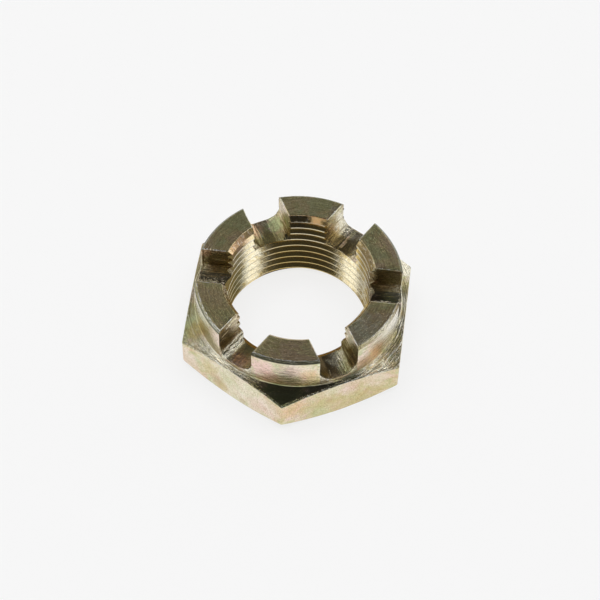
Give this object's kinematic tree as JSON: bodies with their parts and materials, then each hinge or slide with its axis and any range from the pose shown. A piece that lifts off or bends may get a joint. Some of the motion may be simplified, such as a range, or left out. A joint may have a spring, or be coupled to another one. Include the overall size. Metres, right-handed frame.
{
  "type": "castle nut",
  "caption": "Thin hexagon castle nut with a turned shoulder and a round crown, slotted so that a cotter pin can lock it to its bolt.",
  "frame": {"origin": "centre of the bearing face, on the thread's axis", "axes": "+Z along the thread from the bearing face to the crown, +X square to one of the hexagon's flats and along a pair of slots, -Y through a corner of the hexagon"},
  "size_m": [0.034, 0.0392, 0.0138],
  "materials": {
    "yellow_plated_steel": "turned steel with satin yellow chromate plating"
  },
  "bodies": {
    "root": {"castle_nut": "yellow_plated_steel"}
  },
  "joints": []
}
